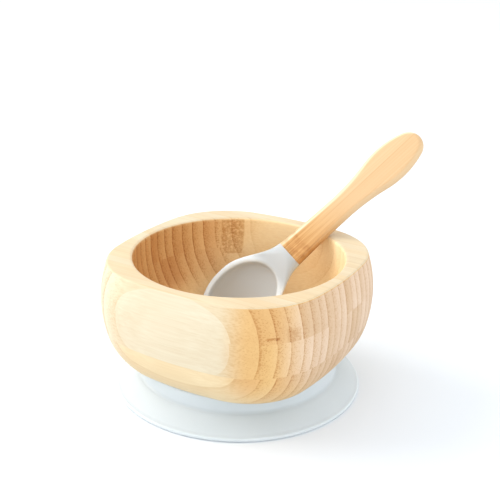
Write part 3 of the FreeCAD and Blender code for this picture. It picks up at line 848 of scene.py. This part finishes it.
def handle_bamboo():
    """The spoon's handle: two strips glued along their length, with a knuckle near the neck."""
    recipe = Recipe("spoon_bamboo", specular=0.35)
    place, (_, facing_y, _) = recipe.axes()
    x, y, _ = place
    streak = grain_streaks(recipe, place)
    near_neck = recipe.step(x, 0.0, 42.0, 1, 0)
    wood = recipe.blend(streak, HANDLE_PALE, HANDLE_DEEP)
    wood = recipe.blend(recipe.times(near_neck, 0.75), wood, HANDLE_NECK)
    # Painted light: the eased edges are made paler, as if the lamps caught them.
    wood = recipe.blend(recipe.step(facing_y, 0.06, 0.30, 0, 0.9), wood, HANDLE_LEFT_PAINTED_LIGHT)
    wood = recipe.blend(recipe.step(facing_y, -0.75, -0.2, 0.5, 0), wood, HANDLE_RIGHT_PAINTED_LIGHT)

    seam_side = recipe.less(y, recipe.times(x, 0.02))
    seam = recipe.within(seam_side, -0.12, 0.12, 0.25)
    upper_strip = recipe.step(seam_side, -0.3, 0.3)
    fibres = recipe.noise(recipe.stretched(place, NECK_FIBRE_CELLS), detail=3.0)
    ragged = recipe.noise(recipe.stretched(place, NECK_KNUCKLE_CELLS), detail=3.0)
    bowed = recipe.add(recipe.less(x, recipe.times(y, y, 0.03)), recipe.times(ragged, -1.6))
    bands = recipe.add(recipe.within(bowed, 1.0, 2.0, 1.3), recipe.within(bowed, 5.6, 6.8, 1.6))
    # Painted shade: the right side near the neck, which faces down away from the lamps, is made
    # darker.
    painted_right_edge_shade = recipe.step(facing_y, -0.8, -0.3, -0.34, 0)
    shade = recipe.add(0.96,
                       recipe.times(seam, -0.10),
                       recipe.times(upper_strip, 0.05),
                       recipe.times(bands, recipe.step(ragged, 0.25, 0.75), -0.17),
                       recipe.times(recipe.step(fibres, 0.35, 0.65, -0.30, 0.04), near_neck),
                       recipe.times(painted_right_edge_shade, near_neck))
    wood = darken(recipe, wood, shade)
    return recipe.finish(wood, recipe.add(0.44, recipe.times(streak, 0.16)), streak, GRAIN_BUMP)


# ---------------------------------------------------------------- silicone

RING_GREY, RING_DUSK = (0.59, 0.63, 0.65), (0.565, 0.61, 0.63)
# The head is the ring's silicone in painted shade: darker, for the shade of the bowl it lies in.
HEAD_SHADED_GREY, HEAD_SHADED_DUSK = (0.50, 0.525, 0.54), (0.48, 0.51, 0.525)
# Painted highlight on the head's lip, and painted shade with the wood's bounced warmth in its
# hollow.
HEAD_LIP_PAINTED_LIGHT = (0.72, 0.765, 0.79)
HEAD_HOLLOW_PAINTED_SHADE = (0.455, 0.425, 0.375)
GLOW_RADIUS = (1.0, 1.0, 1.0)      # light spreads equally far in red, green and blue
SILICONE_BUMP = 0.02 * MM


def silicone(name, colour, dusk, glow_depth, on_spoon=False):
    """Matt silicone: soft light inside, the faintest cloudiness and a fine moulded texture.

    glow_depth is how far light spreads inside, in metres.
    """
    recipe = Recipe(name, specular=0.4)
    (x, y, z), _ = recipe.axes()
    place = recipe.vector(x, y, z)
    cloud = recipe.noise(place, scale=0.09, detail=3.0)
    grain = recipe.noise(place, scale=3.2, detail=2.0)
    body = recipe.blend(cloud, colour, dusk)
    # On the spoon: painted light on the lip and painted shade in the hollow.
    if on_spoon:
        body = spoon_painted_light_and_shade(recipe, body, x, z)
    recipe.shader.inputs["Subsurface Weight"].default_value = 0.9
    recipe.shader.inputs["Subsurface Radius"].default_value = GLOW_RADIUS
    recipe.shader.inputs["Subsurface Scale"].default_value = glow_depth
    return recipe.finish(body, recipe.add(0.48, recipe.times(grain, 0.16)), grain, SILICONE_BUMP)


def spoon_painted_light_and_shade(recipe, body, x, z):
    """Painted light and shade for the spoon's head, in the spoon's own frame: a paler lip and a
    warmer, darker hollow.
    """
    lip = recipe.times(recipe.step(z, 0.4, 1.3), recipe.step(x, -17.0, -10.0, 1, 0))
    hollow = recipe.times(recipe.step(z, -4.0, 1.0, 1, 0), recipe.step(x, -46.0, -16.0, 0.95, 0.3))
    return recipe.blend(hollow, recipe.blend(lip, body, HEAD_LIP_PAINTED_LIGHT), HEAD_HOLLOW_PAINTED_SHADE)


# ---------------------------------------------------------------- camera, light and floor

CAMERA_AZIMUTH = 31.79             # degrees round from the bowl's -Y side
CAMERA_DISTANCE = 434.8 * MM       # level distance from the bowl's axis
CAMERA_HEIGHT = 237.4 * MM
CAMERA_PITCH = 21.44               # degrees below level
CAMERA_YAW = 0.652                 # degrees right of the axis
CAMERA_ROLL = 0.86
CAMERA_LENS, CAMERA_SENSOR = 73.15, 36  # millimetres
CAMERA_CLIP = 10 * MM
SKY_COLOUR, SKY_STRENGTH = (0.95, 0.98, 1, 1), 1.24
FLOOR_REACH = 1.6                  # metres from the bowl to the floor's edges
FLOOR_COLOUR = (0.775, 0.80, 0.83, 1)


def make_camera():
    """A long lens that looks down at the bowl past its front corner."""
    data = bpy.data.cameras.new("camera")
    data.lens = CAMERA_LENS
    data.sensor_width = CAMERA_SENSOR
    data.clip_start = CAMERA_CLIP
    camera = bpy.data.objects.new("camera", data)
    bpy.context.scene.collection.objects.link(camera)
    azimuth = math.radians(CAMERA_AZIMUTH)
    place = Vector((math.sin(azimuth), -math.cos(azimuth), 0)) * CAMERA_DISTANCE
    place.z = CAMERA_HEIGHT
    camera.matrix_world = (Matrix.Translation(place)
                           @ Matrix.Rotation(math.radians(CAMERA_AZIMUTH - CAMERA_YAW), 4, "Z")
                           @ Matrix.Rotation(math.radians(90 - CAMERA_PITCH), 4, "X")
                           @ Matrix.Rotation(math.radians(CAMERA_ROLL), 4, "Z"))
    bpy.context.scene.camera = camera


def make_light(name, azimuth, elevation, distance, width, power, colour=(1, 1, 1)):
    """A square softbox that looks at the middle of the bowl."""
    data = bpy.data.lights.new(name, "AREA")
    data.shape = "SQUARE"
    data.size = width
    data.energy = power
    data.color = colour
    light = bpy.data.objects.new(name, data)
    bpy.context.scene.collection.objects.link(light)
    turn, rise = math.radians(azimuth), math.radians(elevation)
    aim = Vector((0, 0, RIM_Z / 2))
    back = Vector((math.sin(turn) * math.cos(rise), -math.cos(turn) * math.cos(rise),
                   math.sin(rise)))
    light.location = aim + back * distance
    light.rotation_mode = "QUATERNION"
    light.rotation_quaternion = (-back).to_track_quat("-Z", "Y")


def set_view():
    """Plain display colours, so that the white studio stays white."""
    view = bpy.context.scene.view_settings
    view.view_transform = "Standard"
    view.look = "None"


def make_world():
    """Even pale light from all round."""
    world = bpy.data.worlds.new("studio")
    bpy.context.scene.world = world
    world.use_nodes = True
    background = world.node_tree.nodes["Background"]
    background.inputs["Color"].default_value = SKY_COLOUR
    background.inputs["Strength"].default_value = SKY_STRENGTH


def make_floor():
    """A plain pale floor under the ring."""
    corners = ((-1, -1), (1, -1), (1, 1), (-1, 1))
    mesh = bpy.data.meshes.new("floor")
    mesh.from_pydata([(x * FLOOR_REACH, y * FLOOR_REACH, 0) for x, y in corners], [],
                     [(0, 1, 2, 3)])
    floor = bpy.data.objects.new("floor", mesh)
    bpy.context.scene.collection.objects.link(floor)
    material = bpy.data.materials.new("floor_paper")
    material.use_nodes = True
    shader = material.node_tree.nodes["Principled BSDF"]
    shader.inputs["Base Color"].default_value = FLOOR_COLOUR
    shader.inputs["Roughness"].default_value = 0.8
    mesh.materials.append(material)


def paint(piece, material):
    """Gives a piece its one material."""
    piece.data.materials.clear()
    piece.data.materials.append(material)


# ---------------------------------------------------------------- the scene

make_camera()
set_view()
make_world()
make_floor()
make_light("window_softbox", azimuth=-74, elevation=30, distance=1.2, width=0.9, power=11.5,
           colour=(1, 0.97, 0.93))
make_light("side_softbox", azimuth=115, elevation=28, distance=1.3, width=0.9, power=0.8)
make_light("front_softbox", azimuth=50, elevation=12, distance=1.4, width=0.6, power=2.6,
           colour=(0.94, 0.97, 1))

boards = [make_foot_board(), make_lower_wall_board(), make_upper_wall_board(), make_rim_board()]
ring = make_suction_ring()
handle, head = make_spoon_handle(), make_spoon_head()
# Each board's first strip edge, seed, colour of the outermost strip, and knuckles.
BOARD_LOOKS = (
    (-54.0, 3.0, APRICOT_PAINTED_BOUNCE_LIGHT, ()),
    (-52.9, 11.0, APRICOT_PAINTED_BOUNCE_LIGHT, ()),
    (-54.6, 23.0, CREAM, (WALL_KNUCKLE,)),
    (-54.6, 31.0, CREAM, (CORNER_DASH, WALL_KNUCKLE, CORNER_SHADE)),
)
for board, (first_edge, seed, pale, marks) in zip(boards, BOARD_LOOKS):
    paint(board, board_bamboo(f"{board.name}_bamboo", first_edge, seed, pale, marks))
paint(handle, handle_bamboo())
paint(ring, silicone("ring_silicone", RING_GREY, RING_DUSK, glow_depth=3 * MM))
paint(head, silicone("head_silicone", HEAD_SHADED_GREY, HEAD_SHADED_DUSK, glow_depth=1 * MM, on_spoon=True))
